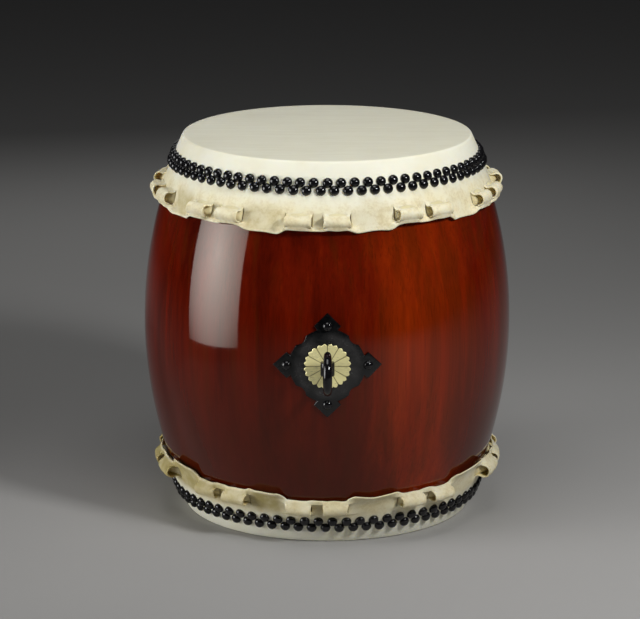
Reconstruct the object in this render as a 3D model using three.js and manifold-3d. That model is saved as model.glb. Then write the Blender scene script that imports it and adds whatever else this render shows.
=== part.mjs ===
import * as THREE from 'three';
import { mergeVertices } from 'three/addons/utils/BufferGeometryUtils.js';
import Module from 'manifold-3d';

// A barrel drum: one hollowed log, a tacked hide on each mouth and a pair of ring handles.
// Millimetres. +Z runs up the drum's axis, and the origin is the centre of the lower head.
// The handles are at the front (-Y) and at the rear (+Y).

const wasm = await Module();
wasm.setup();

// Fits between pieces that touch
const fitGap = 0.3;
const weldDistance = 1e-4;
const flatness = 1e-3;

// Barrel
const drumHeight = 606;
const mouthRadius = 226.5;
const bellySwell = 66.5;
const wallThickness = 30;
const mouthChamfer = 2;
const barrelSegments = 48;
const barrelRows = 8;
const boreRows = 4;

// Hide: the head, the rounded rim, the tacked side and the hem below it
const hideThickness = 3.2;
const rimRounding = 5;
const rimSteps = 2;
const flareDepth = 58;
const topHemDepth = 102;
const bottomHemDepth = 90;
const hemLift = 3.5;

// Tacks, in two staggered rows on each hide
const tackRadius = 8;
const tackCrownRadius = 3.7;
const tackHeight = 7;
const tackSink = 1.5;
const tackSides = 5;
const topRowDepth = 30.4;
const bottomRowDepth = 27.5;
const rowSpacing = 11.3;
const topTackCount = 74;
const bottomTackCount = 71;

// Belt loops of the hem: slit strips, in pairs, that the stretching bars once passed through
const loopPairs = 10;
const loopWidth = 40;
const loopSpacing = 15;
const loopInset = 18;
const loopLength = 22;
const loopBulge = 15;
const loopSteps = 2;
const topPairAngle = THREE.MathUtils.degToRad(-3);
const bottomPairAngle = THREE.MathUtils.degToRad(3);

// Seat plate of a handle: four diamond lobes, and between them two points with a hollow
const plateThickness = 3;
const plateReach = 82;
const lobeHalfWidth = 20.3;
const neckReach = 55.5;
const neckHalfWidth = 15.2;
const pointRadius = 56.7;
const pointSpread = THREE.MathUtils.degToRad(10.4);
const hollowSink = 4;
const shoulderRise = 0.7;
const plateCurveSteps = 4;

// Chrysanthemum washer
const washerThickness = 2;
const washerRadius = 35;
const petalCount = 16;
const petalCleft = 2.4;
const petalNotch = 1.2;

// Ring, thin where the eye holds it and thick where the hand holds it
const ringRadius = 28;
const ringNeckRadius = 4.5;
const ringGripRadius = 7;
const ringSteps = 24;
const ringSides = 8;

// Eye pin: a strap folded round the ring, with two legs that are clenched inside the barrel
const strapThickness = 3.4;
const eyeHeight = 20;
const eyePlay = 0.5;
const eyeSteps = 10;
const legThickness = 4;
const legHeight = 12;
const legSlit = 0.6;
const clenchLength = 26;

// Nails of the seat plate
const nailInset = 20.5;
const nailHeadRadius = 7;
const nailHeadHeight = 5.5;
const nailShoulder = THREE.MathUtils.degToRad(48);
const nailSides = 8;
const nailShank = 3.6;
const nailLength = 24;

// Sizes that follow from the ones above
const bellyRadius = mouthRadius + bellySwell;
const headHeight = drumHeight / 2;
const woodHalf = headHeight - hideThickness - fitGap;
const flareHeight = headHeight - flareDepth;
const bulgeArc = (woodHalf ** 2 + bellySwell ** 2) / (2 * bellySwell);
const barrelRadius = (height) => bellyRadius - bulgeArc + Math.sqrt(bulgeArc ** 2 - height ** 2);
const plateFace = fitGap + plateThickness;
const washerFace = plateFace + fitGap + washerThickness;
const nailReach = plateReach - nailInset;
const eyeReach = Math.asin(eyeHeight / 2 / ringRadius);
const ringSag = ringRadius * (1 - Math.cos(eyeReach) * Math.cos(Math.PI / ringSteps));
const ringRoom = ringSag + ringNeckRadius / Math.cos(eyeReach);
const eyeRadius = ringRoom / Math.cos(Math.PI / (2 * eyeSteps)) + eyePlay;
const strapRadius = eyeRadius + strapThickness;
const hingeRadius = bellyRadius + washerFace + fitGap + strapRadius;
const legsWidth = 2 * legThickness + legSlit;
const boreRowHeight = (2 * flareHeight) / boreRows;
const boreSlope = (bellyRadius - barrelRadius(boreRowHeight)) / boreRowHeight;
const boreRadius = bellyRadius - wallThickness - (boreSlope * legHeight) / 2;
const boreClear = boreRadius * Math.cos(Math.PI / barrelSegments) - fitGap;

const finishes = {
  lacquer: { color: '#5c1707', roughness: 0.16, metalness: 0 },
  hide: { color: '#e3dbbd', roughness: 0.62, metalness: 0 },
  iron: { color: '#101012', roughness: 0.3, metalness: 0.75 },
  brass: { color: '#d6c98a', roughness: 0.36, metalness: 0.9 },
};

// A closed solid for cutting and joining, from a closed three.js geometry
function solidFrom(geometry) {
  const bare = geometry.clone();
  bare.deleteAttribute('normal');
  bare.deleteAttribute('uv');
  const welded = mergeVertices(bare, weldDistance);
  const corners = welded.index.array;
  const triangles = [];
  for (let i = 0; i < corners.length; i += 3) {
    const [a, b, c] = corners.slice(i, i + 3);
    if (a !== b && b !== c && c !== a) {
      triangles.push(a, b, c);
    }
  }
  return new wasm.Manifold(new wasm.Mesh({
    numProp: 3,
    vertProperties: new Float32Array(welded.attributes.position.array),
    triVerts: new Uint32Array(triangles),
  }));
}

// A named mesh of a solid, with the pieces of each flat face merged
function meshFrom(name, solid, finish) {
  const { vertProperties, triVerts } = solid.asOriginal().simplify(flatness).getMesh();
  const geometry = new THREE.BufferGeometry();
  geometry.setAttribute('position', new THREE.BufferAttribute(new Float32Array(vertProperties), 3));
  geometry.setIndex(new THREE.BufferAttribute(new Uint32Array(triVerts), 1));
  geometry.computeVertexNormals();
  const mesh = new THREE.Mesh(geometry, new THREE.MeshStandardMaterial(finishes[finish]));
  mesh.name = name;
  return mesh;
}

const joined = (solids) => wasm.Manifold.union(solids);

// A profile of [radius, height] corners turned round +Z, with its first side at the front
function turned(profile, segments) {
  const points = profile.map(([radius, height]) => new THREE.Vector2(radius, height));
  return new THREE.LatheGeometry(points, segments).rotateX(Math.PI / 2);
}

// A shape drawn in X and Z as seen from the front, extruded inwards along +Y from a start
function facingFront(shape, start, length, curveSegments) {
  const settings = { depth: length, bevelEnabled: false, curveSegments };
  return new THREE.ExtrudeGeometry(shape, settings)
    .rotateX(Math.PI / 2)
    .translate(0, start + length, 0);
}

function boxAt(width, depth, height, x, y, z) {
  return new THREE.BoxGeometry(width, depth, height).translate(x, y, z);
}

// The point of a meridian line that lies at a height, with the line's outward normal
function seatOn(start, end, height) {
  const share = (height - start[1]) / (end[1] - start[1]);
  const radius = start[0] + share * (end[0] - start[0]);
  const down = new THREE.Vector3(0, start[0] - end[0], end[1] - start[1]).normalize();
  const out = new THREE.Vector3(0, down.z, -down.y);
  return { point: new THREE.Vector3(0, -radius, height), down, out };
}

// Corners of a face that follows the barrel's bulge at an offset, from the lower flare to the upper
function bulgeFace(offset, rows) {
  const corners = [];
  for (let row = 0; row <= rows; row += 1) {
    const height = flareHeight * ((2 * row) / rows - 1);
    corners.push([barrelRadius(height) + offset, height]);
  }
  return corners;
}

// A skin that follows the barrel's face, for sheet metal that is hammered to it
function barrelSkin(inner, outer) {
  const face = bulgeFace(outer, barrelRows);
  const back = bulgeFace(inner, barrelRows).reverse();
  return solidFrom(turned([...face, ...back, face[0]], barrelSegments));
}

function barrel() {
  const chamfer = [barrelRadius(woodHalf - mouthChamfer), woodHalf - mouthChamfer];
  const edge = [mouthRadius - mouthChamfer, woodHalf];
  const mouth = [mouthRadius - wallThickness, woodHalf];
  const below = ([radius, height]) => [radius, -height];
  const profile = [
    below(edge),
    below(chamfer),
    ...bulgeFace(0, barrelRows),
    chamfer,
    edge,
    mouth,
    ...bulgeFace(-wallThickness, boreRows).reverse(),
    below(mouth),
    below(edge),
  ];
  return solidFrom(turned(profile, barrelSegments));
}

// A tack's head, plain because there are so many, with its foot sunk into the hide
function tackHead() {
  const profile = [
    [0, -tackSink],
    [tackRadius, -tackSink],
    [tackCrownRadius, tackHeight],
    [0, tackHeight],
  ];
  return new THREE.LatheGeometry(profile.map(([x, y]) => new THREE.Vector2(x, y)), tackSides);
}

// Half an oval tube: the strip between two slits, pushed out into a belt loop
function loopStrip() {
  const half = loopLength / 2;
  const shape = new THREE.Shape();
  shape.moveTo(half, -hideThickness / 2);
  shape.absellipse(0, 0, half, loopBulge, 0, Math.PI, false);
  shape.lineTo(-half, -hideThickness / 2);
  shape.lineTo(hideThickness - half, -hideThickness / 2);
  shape.absellipse(0, 0, half - hideThickness, loopBulge - hideThickness, Math.PI, 0, true);
  shape.lineTo(half - hideThickness, -hideThickness / 2);
  const settings = { depth: loopWidth, bevelEnabled: false, curveSegments: loopSteps };
  return new THREE.ExtrudeGeometry(shape, settings).translate(0, 0, -loopWidth / 2);
}

// A head with its hem, its tacks and its belt loops, as it lies on the top mouth
function hide(tackCount, rowDepth, pairAngle, hemDepth) {
  const roomy = (radius) => (radius + fitGap) / Math.cos(Math.PI / tackCount);
  const innerHead = woodHalf + fitGap;
  const hemHeight = headHeight - hemDepth;
  const innerMouth = roomy(barrelRadius(woodHalf));
  const innerFlare = roomy(barrelRadius(flareHeight));
  const innerHem = roomy(barrelRadius(hemHeight)) + hemLift;
  const rim = [innerMouth + hideThickness, headHeight - rimRounding];
  const flare = [innerFlare + hideThickness, flareHeight];
  const hem = [innerHem + hideThickness, hemHeight];
  const rounding = [];
  for (let step = 0; step <= rimSteps; step += 1) {
    const angle = (step / rimSteps) * (Math.PI / 2);
    const radius = rim[0] - rimRounding * (1 - Math.cos(angle));
    rounding.push([radius, rim[1] + rimRounding * Math.sin(angle)]);
  }
  const profile = [
    [0, innerHead],
    [innerMouth, innerHead],
    [innerFlare, flareHeight],
    [innerHem, hemHeight],
    hem,
    flare,
    ...rounding,
    [0, headHeight],
  ];
  const sheet = solidFrom(turned(profile, tackCount));

  const tack = tackHead();
  const pitch = (2 * Math.PI) / tackCount;
  const tacks = [];
  for (const row of [0, 1]) {
    const seat = seatOn(rim, flare, headHeight - rowDepth - row * rowSpacing);
    const across = new THREE.Vector3().crossVectors(seat.out, seat.down);
    const stand = new THREE.Matrix4().makeBasis(across, seat.out, seat.down).setPosition(seat.point);
    for (let i = 0; i < tackCount; i += 1) {
      const spin = new THREE.Matrix4().makeRotationZ((i + 0.5 * (1 + row)) * pitch);
      tacks.push(solidFrom(tack.clone().applyMatrix4(stand).applyMatrix4(spin)));
    }
  }

  const seat = seatOn(flare, hem, hemHeight + loopInset);
  const across = new THREE.Vector3().crossVectors(seat.down, seat.out);
  const stand = new THREE.Matrix4().makeBasis(seat.down, seat.out, across).setPosition(seat.point);
  const halfAngle = (loopWidth + loopSpacing) / 2 / -seat.point.y;
  const strips = [];
  for (let pair = 0; pair < loopPairs; pair += 1) {
    for (const side of [-1, 1]) {
      const angle = pairAngle + (pair * 2 * Math.PI) / loopPairs + side * halfAngle;
      const spin = new THREE.Matrix4().makeRotationZ(angle);
      strips.push(solidFrom(loopStrip().applyMatrix4(stand).applyMatrix4(spin)));
    }
  }
  return joined([sheet, ...strips, ...tacks]);
}

function plateOutline() {
  const shape = new THREE.Shape();
  const points = [Math.PI / 4 + pointSpread, Math.PI / 4 - pointSpread];
  const rises = [shoulderRise, -hollowSink, shoulderRise];
  shape.moveTo(0, plateReach);
  for (let quarter = 0; quarter < 4; quarter += 1) {
    const centre = new THREE.Vector2();
    const turn = (x, y) => new THREE.Vector2(x, y).rotateAround(centre, (-quarter * Math.PI) / 2);
    const corners = [
      turn(neckHalfWidth, neckReach),
      ...points.map((angle) => turn(pointRadius * Math.cos(angle), pointRadius * Math.sin(angle))),
      turn(neckReach, neckHalfWidth),
    ];
    const lobe = turn(lobeHalfWidth, plateReach - lobeHalfWidth);
    shape.lineTo(lobe.x, lobe.y);
    shape.lineTo(corners[0].x, corners[0].y);
    for (const [i, rise] of rises.entries()) {
      const middle = corners[i].clone().add(corners[i + 1]).multiplyScalar(0.5);
      const crown = middle.clone().setLength(middle.length() + 2 * rise);
      shape.quadraticCurveTo(crown.x, crown.y, corners[i + 1].x, corners[i + 1].y);
    }
    const nextLobe = turn(plateReach - lobeHalfWidth, lobeHalfWidth);
    const nextTip = turn(plateReach, 0);
    shape.lineTo(nextLobe.x, nextLobe.y);
    shape.lineTo(nextTip.x, nextTip.y);
  }
  return shape;
}

// Sixteen petals with a cleft between neighbours and a notch in each tip
function washerOutline() {
  const petal = (2 * Math.PI) / petalCount;
  const radii = [washerRadius - petalCleft, washerRadius, washerRadius - petalNotch, washerRadius];
  const points = [];
  for (let i = 0; i < petalCount * radii.length; i += 1) {
    const angle = (i * petal) / radii.length;
    const radius = radii[i % radii.length];
    points.push(new THREE.Vector2(radius * Math.cos(angle), radius * Math.sin(angle)));
  }
  return new THREE.Shape(points);
}

// Cuts an outline, seen from the front, from a skin of sheet metal on the barrel
function sheetPiece(outline, inner, outer, curveSegments) {
  const start = -bellyRadius - outer - plateReach;
  const cutter = facingFront(outline, start, bellyRadius + plateReach, curveSegments);
  return barrelSkin(inner, outer).intersect(solidFrom(cutter));
}

// The hole that lets the eye pin's legs through plate, washer and wall
function legHole() {
  const inside = bellyRadius - 2 * wallThickness;
  const outside = hingeRadius;
  const width = legsWidth + 2 * fitGap;
  const height = legHeight + 2 * fitGap;
  return solidFrom(boxAt(width, outside - inside, height, 0, -(outside + inside) / 2, 0));
}

// Where a nail stands on the barrel's front: +Z of the matrix points straight out of the wood
function nailStand(across, up) {
  const sideways = Math.asin(across / bellyRadius);
  const tilt = Math.asin(up / bulgeArc);
  return new THREE.Matrix4()
    .makeRotationZ(sideways)
    .multiply(new THREE.Matrix4().makeTranslation(0, -barrelRadius(up), up))
    .multiply(new THREE.Matrix4().makeRotationX(Math.PI / 2 - tilt));
}

const nailPlaces = {
  upper: nailStand(0, nailReach),
  lower: nailStand(0, -nailReach),
  left: nailStand(-nailReach, 0),
  right: nailStand(nailReach, 0),
};

function squareShank(width, length) {
  return new THREE.BoxGeometry(width, width, length);
}

// A nail along +Z: a domed head on the plate's face and a square shank in the wood
function nail(stand) {
  const seat = plateFace + fitGap;
  const shoulder = nailHeadRadius * Math.cos(nailShoulder);
  const head = turned([
    [0, seat],
    [nailHeadRadius, seat],
    [shoulder, seat + nailHeadHeight * Math.sin(nailShoulder)],
    [0, seat + nailHeadHeight],
  ], nailSides);
  const length = nailLength + seat + nailHeadHeight / 2;
  const shank = squareShank(nailShank, length).translate(0, 0, length / 2 - nailLength);
  return joined([solidFrom(head), solidFrom(shank)]).transform(stand.elements);
}

function nailHole(stand) {
  const width = nailShank + 2 * fitGap;
  const outside = 2 * washerFace;
  const length = nailLength + fitGap + outside;
  const hole = squareShank(width, length).translate(0, 0, outside - length / 2);
  return solidFrom(hole.applyMatrix4(stand));
}

const handleHoles = () => joined([legHole(), ...Object.values(nailPlaces).map(nailHole)]);

function seatPlate() {
  return sheetPiece(plateOutline(), fitGap, plateFace, plateCurveSteps).subtract(handleHoles());
}

function washer() {
  return sheetPiece(washerOutline(), plateFace + fitGap, washerFace, 1).subtract(legHole());
}

// The ring stands straight out of the drum, in the plane of X = 0
function ring() {
  const geometry = new THREE.TorusGeometry(ringRadius, 1, ringSides, ringSteps);
  const corners = geometry.attributes.position;
  const corner = new THREE.Vector3();
  const spine = new THREE.Vector3();
  for (let i = 0; i < corners.count; i += 1) {
    corner.fromBufferAttribute(corners, i);
    spine.set(corner.x, corner.y, 0).setLength(ringRadius);
    const grip = (1 - spine.x / ringRadius) / 2;
    corner.sub(spine).multiplyScalar(THREE.MathUtils.lerp(ringNeckRadius, ringGripRadius, grip));
    corner.add(spine);
    corners.setXYZ(i, corner.x, corner.y, corner.z);
  }
  return geometry.rotateX(Math.PI / 2).rotateZ(Math.PI / 2).translate(0, -hingeRadius - ringRadius, 0);
}

function eyePin() {
  const loop = new THREE.Shape();
  loop.absarc(0, 0, strapRadius, 0, 2 * Math.PI, false);
  const hole = new THREE.Path();
  hole.absarc(0, 0, eyeRadius, 0, 2 * Math.PI, true);
  loop.holes.push(hole);
  const settings = { depth: eyeHeight, bevelEnabled: false, curveSegments: eyeSteps };
  const strap = new THREE.ExtrudeGeometry(loop, settings).translate(0, -hingeRadius, -eyeHeight / 2);
  const neck = hingeRadius - eyeRadius - strapThickness / 2;
  const end = boreClear - legThickness;
  const legs = boxAt(legsWidth, neck - end, legHeight, 0, -(neck + end) / 2, 0);
  const slitEnd = end - legThickness;
  const slitMiddle = -(hingeRadius + slitEnd) / 2;
  const slit = boxAt(legSlit, hingeRadius - slitEnd, 2 * eyeHeight, 0, slitMiddle, 0);
  const bend = Math.asin(clenchLength / (2 * boreClear));
  const armStart = (legSlit + legThickness) / 2;
  const armLength = clenchLength - armStart;
  const arms = [-1, 1].map((side) => boxAt(armLength, legThickness, legHeight,
    side * (armStart + armLength / 2), legThickness / 2, 0)
    .rotateZ(side * bend)
    .translate(0, -boreClear, 0));
  return joined([strap, legs, ...arms].map(solidFrom)).subtract(solidFrom(slit));
}

// One handle, built at the front of the drum
function handle(place) {
  const group = new THREE.Group();
  group.add(meshFrom(`${place}_seat_plate`, seatPlate(), 'iron'));
  group.add(meshFrom(`${place}_chrysanthemum_washer`, washer(), 'brass'));
  group.add(meshFrom(`${place}_eye_pin`, eyePin(), 'iron'));
  group.add(meshFrom(`${place}_ring`, solidFrom(ring()), 'iron'));
  for (const [spot, stand] of Object.entries(nailPlaces)) {
    group.add(meshFrom(`${place}_nail_${spot}`, nail(stand), 'iron'));
  }
  return group;
}

const drum = new THREE.Group();
drum.position.z = headHeight;

const rearHoles = handleHoles().rotate([0, 0, 180]);
const shell = barrel().subtract(handleHoles()).subtract(rearHoles);
drum.add(meshFrom('body_shell', shell, 'lacquer'));

const upperHead = hide(topTackCount, topRowDepth, topPairAngle, topHemDepth);
drum.add(meshFrom('top_hide', upperHead, 'hide'));
const lowerHead = hide(bottomTackCount, bottomRowDepth, bottomPairAngle, bottomHemDepth);
const bottomHide = meshFrom('bottom_hide', lowerHead, 'hide');
bottomHide.rotation.y = Math.PI;
drum.add(bottomHide);

drum.add(handle('front'));
const rearHandle = handle('rear');
rearHandle.rotation.z = Math.PI;
drum.add(rearHandle);

export default drum;
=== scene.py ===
import math

import bmesh
import bpy
import numpy as np
from mathutils import Matrix, Vector, noise


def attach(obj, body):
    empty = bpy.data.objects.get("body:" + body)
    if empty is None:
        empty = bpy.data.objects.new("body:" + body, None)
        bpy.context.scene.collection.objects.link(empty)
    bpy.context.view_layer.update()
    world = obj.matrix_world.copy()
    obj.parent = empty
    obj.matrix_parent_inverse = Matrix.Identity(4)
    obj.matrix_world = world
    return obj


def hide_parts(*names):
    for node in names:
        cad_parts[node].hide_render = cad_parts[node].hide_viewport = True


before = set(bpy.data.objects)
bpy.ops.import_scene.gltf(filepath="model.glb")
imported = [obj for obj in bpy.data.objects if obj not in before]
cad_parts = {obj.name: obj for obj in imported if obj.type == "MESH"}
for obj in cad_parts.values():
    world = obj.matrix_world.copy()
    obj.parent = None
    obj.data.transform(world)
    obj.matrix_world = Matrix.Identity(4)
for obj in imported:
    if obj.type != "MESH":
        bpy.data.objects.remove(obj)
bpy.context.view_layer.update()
scene = bpy.context.scene
scene.view_settings.view_transform = "Standard"


# Node wiring: a wire is a socket that takes part in sums
class Wire:
    def __init__(self, board, socket):
        self.board = board
        self.socket = socket

    def sum(self, operation, first, second=0.0):
        return self.board.node("ShaderNodeMath", {"operation": operation}, {0: first, 1: second})

    def __add__(self, other):
        return self.sum("ADD", self, other)

    def __radd__(self, other):
        return self.sum("ADD", other, self)

    def __sub__(self, other):
        return self.sum("SUBTRACT", self, other)

    def __rsub__(self, other):
        return self.sum("SUBTRACT", other, self)

    def __mul__(self, other):
        return self.sum("MULTIPLY", self, other)

    def __rmul__(self, other):
        return self.sum("MULTIPLY", other, self)

    def __truediv__(self, other):
        return self.sum("DIVIDE", self, other)

    def __rtruediv__(self, other):
        return self.sum("DIVIDE", other, self)

    def __pow__(self, other):
        return self.sum("POWER", self, other)

    def floor(self):
        return self.sum("FLOOR", self)

    def sine(self):
        return self.sum("SINE", self)

    def cosine(self):
        return self.sum("COSINE", self)

    def pick(self, name):
        return Wire(self.board, self.socket.node.outputs[name])


class Board:
    def __init__(self, tree):
        self.tree = tree

    # Settings come first, because they change which sockets a node has
    def node(self, kind, settings=None, sockets=None, out=0):
        made = self.tree.nodes.new(kind)
        for name, value in (settings or {}).items():
            if name == "stops":
                self.setStops(made.color_ramp, value)
            else:
                setattr(made, name, value)
        self.fill(made, sockets or {})
        return Wire(self, made.outputs[out])

    # A wire is linked and a plain value is written
    def fill(self, made, sockets):
        for name, value in sockets.items():
            if isinstance(value, Wire):
                self.tree.links.new(value.socket, made.inputs[name])
            else:
                made.inputs[name].default_value = value

    def setStops(self, ramp, stops):
        while len(ramp.elements) < len(stops):
            ramp.elements.new(1.0)
        for element, (place, colour) in zip(ramp.elements, stops):
            element.position = place
            element.color = colour

    # Blend of two colours
    def blend(self, share, first, second):
        settings = {"data_type": "RGBA", "clamp_factor": True}
        return self.node("ShaderNodeMix", settings, {0: share, 6: first, 7: second}, 2)

    # Object coordinates stretched by three numbers
    def place(self, stretch=(1, 1, 1)):
        spot = self.node("ShaderNodeTexCoord", out="Object")
        return self.node("ShaderNodeMapping", {}, {"Vector": spot, "Scale": stretch})

    # X, Y and Z are picked from this
    def axes(self):
        return self.node("ShaderNodeSeparateXYZ", {}, {0: self.place()})

    def noise(self, stretch, scale, detail=4.0, rough=0.55, distortion=0.0):
        shape = {"Scale": scale, "Detail": detail, "Roughness": rough, "Distortion": distortion}
        return self.node("ShaderNodeTexNoise", {}, {"Vector": self.place(stretch), **shape})

    # The noises that a look describes by stretch, scale, detail, roughness and distortion
    def layers(self, look, *names):
        return [self.noise(*look[name]) for name in names]

    # A value spread smoothly from one range to another, clipped
    def span(self, value, low, high, fromValue=0.0, toValue=1.0):
        kind = {"interpolation_type": "SMOOTHSTEP"}
        return self.node("ShaderNodeMapRange", kind, {0: value, 1: low, 2: high, 3: fromValue, 4: toValue})

    def attribute(self, name):
        return self.node("ShaderNodeAttribute", {"attribute_name": name}, out="Fac")

    def bump(self, height, strength, distance):
        return self.node("ShaderNodeBump", {}, {"Height": height, "Strength": strength, "Distance": distance})


# A colour as a picture shows it, turned into the shader's own scale
def rgb(red, green, blue):
    share = [value / 255 for value in (red, green, blue)]
    linear = [s / 12.92 if s <= 0.04045 else ((s + 0.055) / 1.055) ** 2.4 for s in share]
    return (*linear, 1.0)


def newFinish(name):
    finish = bpy.data.materials.new(name)
    finish.use_nodes = True
    shader = finish.node_tree.nodes["Principled BSDF"]
    return finish, Board(finish.node_tree), shader


plain = (1, 1, 1)   # a noise that isn't stretched

lacquerLook = {
    "deep": rgb(64, 9, 1),
    "middle": rgb(96, 18, 2),
    "bright": rgb(126, 34, 3),
    # the palest stop, reached where the painted light adds to the grain's tone
    "pale": rgb(156, 48, 4),
    "brown": rgb(80, 28, 2),
    "foot": rgb(60, 13, 1),
    "pore": rgb(36, 6, 1),
    "paintedLightRise": (0.05, 0.12),     # painted light from the right lies on the wood right of the handle, between these places across
    "paintedLightFall": (0.165, 0.225),
    # painted shade on the left of the body, fading out between these places across
    "shadeFall": (-0.06, 0.03),
    "sideWander": 0.06,
    "footHeights": (0.1, 0.4),
    "roughness": (0.035, 0.06),
    "glossTint": (1.0, 0.93, 0.82, 1.0),
    "sway": ((1, 1, 0.4), 3.2, 2.0),
    "long": ((1, 1, 0.05), 19.0, 4.0, 0.6, 0.35),
    "band": ((1, 1, 0.03), 44.0, 3.0, 0.55, 0.2),
    "fine": ((1, 1, 0.022), 130.0, 3.0, 0.65),
    "hair": ((1, 1, 0.012), 420.0, 2.0, 0.6),
}


def lacquerFinish(look):
    finish, board, shader = newFinish("red_brown_lacquer")
    sway, long, band, fine, hair = board.layers(look, "sway", "long", "band", "fine", "hair")
    spot = board.axes()
    # Painted light right of the handle and painted shade on the left, their edges shifted a little by the
    # grain
    across = spot.pick("X") + (long - 0.5) * look["sideWander"]
    pale = board.span(across, *look["paintedLightRise"]) * (1 - board.span(across, *look["paintedLightFall"]))
    shade = 1 - board.span(across, *look["shadeFall"])
    tone = long * 0.6 + fine * 0.3 + sway * 0.32 + pale * 0.22 - shade * 0.05 - 0.11
    stops = [(0.3, look["deep"]), (0.5, look["middle"]), (0.72, look["bright"]), (0.95, look["pale"])]
    colour = board.node("ShaderNodeValToRGB", {"stops": stops}, {"Fac": tone})
    colour = board.blend(board.span(band * 0.7 + sway * 0.3, 0.45, 0.62) * 0.5, colour, look["brown"])
    pores = board.span(hair * 0.6 + fine * 0.4, 0.5, 0.66)
    colour = board.blend(pores * 0.3, colour, look["pore"])
    # darker towards the bottom, less so under the painted light
    foot = 1 - board.span(spot.pick("Z"), *look["footHeights"])
    colour = board.blend(foot * (1 - pale * 0.85) * 0.7, colour, look["foot"])
    board.fill(shader, {
        "Base Color": colour,
        "Roughness": board.span(fine, 0.3, 0.7, *look["roughness"]),
        "IOR": 1.42,
        "Specular Tint": look["glossTint"],
        "Normal": board.bump(hair * 0.5 + fine * 0.5, 0.03, 0.0003),
    })
    return finish


hideLook = {
    "side": rgb(242, 239, 219),
    "warm": rgb(229, 218, 181),
    "hem": rgb(234, 223, 185),
    "head": rgb(228, 225, 203),
    "headStreak": rgb(216, 211, 186),
    # painted shade and glow: the inner side is darker and yellower than the outer
    "inner": rgb(222, 208, 156),
    "stain": rgb(190, 170, 118),
    # age and painted shade: browner on the flaps and towards the left
    "ageAndPaintedShade": rgb(174, 159, 102),
    "roughness": (0.54, 0.64),
    "cloud": (plain, 9.0, 4.0, 0.6),
    "blotch": (plain, 46.0, 4.0, 0.62),
    "grain": (plain, 420.0, 3.0, 0.6),
    "pebble": (plain, 230.0, 4.0, 0.65),
    "streak": ((0.06, 1, 1), 120.0, 4.0, 0.6),
    "thread": ((0.04, 1, 1), 420.0, 2.0, 0.6),
}


def hideFinish(look):
    finish, board, shader = newFinish("cow_hide")
    cloud, blotch, grain, pebble = board.layers(look, "cloud", "blotch", "grain", "pebble")
    streak, thread = board.layers(look, "streak", "thread")
    hem = board.attribute("hemShare")
    head = board.attribute("headShare")
    inner = board.attribute("innerSide")
    ageAndPaintedShade = board.attribute("agedShare")
    colour = board.blend(board.span(cloud, 0.45, 0.72) * 0.4, look["side"], look["warm"])
    cream = hem * board.span(cloud * 0.5 + blotch * 0.5, 0.3, 0.62, 0.35, 0.95)
    colour = board.blend(cream, colour, look["hem"])
    dirt = board.span(blotch * 0.5 + pebble * 0.5, 0.45, 0.66) * hem
    colour = board.blend(dirt * 0.42, colour, look["stain"])
    # age and painted shade: browner on the flaps and towards the left, less on their edges
    colour = board.blend(ageAndPaintedShade * board.span(blotch, 0.3, 0.65, 0.7, 1.0), colour, look["ageAndPaintedShade"])
    streaks = board.span(streak * 0.5 + thread * 0.5, 0.38, 0.66)
    flat = board.blend(streaks * 0.5, look["head"], look["headStreak"])
    flat = board.blend(board.span(cloud, 0.45, 0.75) * 0.3, flat, look["headStreak"])
    colour = board.blend(head, colour, flat)
    # the inner side, the loop backs and part of the cut edges take the inner colour's painted shade and glow
    colour = board.blend(inner, colour, look["inner"])
    relief = grain * 0.05 + (grain * 0.25 + pebble * 0.6 + blotch * 0.5) * hem + thread * head * 0.08
    board.fill(shader, {
        "Base Color": colour,
        "Roughness": board.span(blotch * hem + cloud * (1 - hem), 0.3, 0.7, *look["roughness"]),
        "Specular IOR Level": 0.35,
        "Subsurface Weight": 0.35,
        "Subsurface Radius": (1.0, 0.85, 0.55),
        "Subsurface Scale": 0.004,
        "Normal": board.bump(relief, 0.3, 0.0014),
    })
    return finish


enamelLook = {
    "colours": (rgb(9, 9, 11), rgb(20, 19, 21)),
    "roughness": (0.05, 0.12),
    "cloud": (plain, 60.0, 3.0),
    "speck": (plain, 900.0, 2.0),
}


def glossBlackFinish(look):
    finish, board, shader = newFinish("gloss_black_enamel")
    cloud, speck = board.layers(look, "cloud", "speck")
    board.fill(shader, {
        "Base Color": board.blend(cloud, *look["colours"]),
        "Roughness": board.span(speck * 0.5 + cloud * 0.5, 0.35, 0.7, *look["roughness"]),
        "Specular IOR Level": 0.45,
        "Normal": board.bump(speck, 0.05, 0.0004),
    })
    return finish


plateLook = {
    "disc": (rgb(14, 15, 16), rgb(48, 47, 47)),   # the round middle is painted greyer than the four points, as a painted reflection
    "points": (rgb(3, 4, 5), rgb(9, 10, 11)),
    "centre": 0.303,
    "discEnd": 0.045,
    "pointStart": 0.056,
    "roughness": (0.14, 0.3),
    "cloud": (plain, 34.0, 4.0),
    "dimple": (plain, 210.0, 3.0),
}


def satinBlackFinish(look):
    finish, board, shader = newFinish("satin_black_iron")
    cloud, dimple = board.layers(look, "cloud", "dimple")
    spot = board.axes()
    across, up = spot.pick("X"), spot.pick("Z") - look["centre"]
    away = (across * across + up * up) ** 0.5
    # patchy tone, and on the round middle a patchy painted reflection
    toneAndPaintedSheen = board.span(cloud, 0.32, 0.68)
    disc, points = board.blend(toneAndPaintedSheen, *look["disc"]), board.blend(toneAndPaintedSheen, *look["points"])
    board.fill(shader, {
        "Base Color": board.blend(board.span(away, look["discEnd"], look["pointStart"]), disc, points),
        "Roughness": board.span(cloud * 0.6 + dimple * 0.4, 0.35, 0.68, *look["roughness"]),
        "Specular IOR Level": 0.6,
        "Normal": board.bump(cloud * 0.8 + dimple * 0.2, 0.3, 0.003),
    })
    return finish


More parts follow.
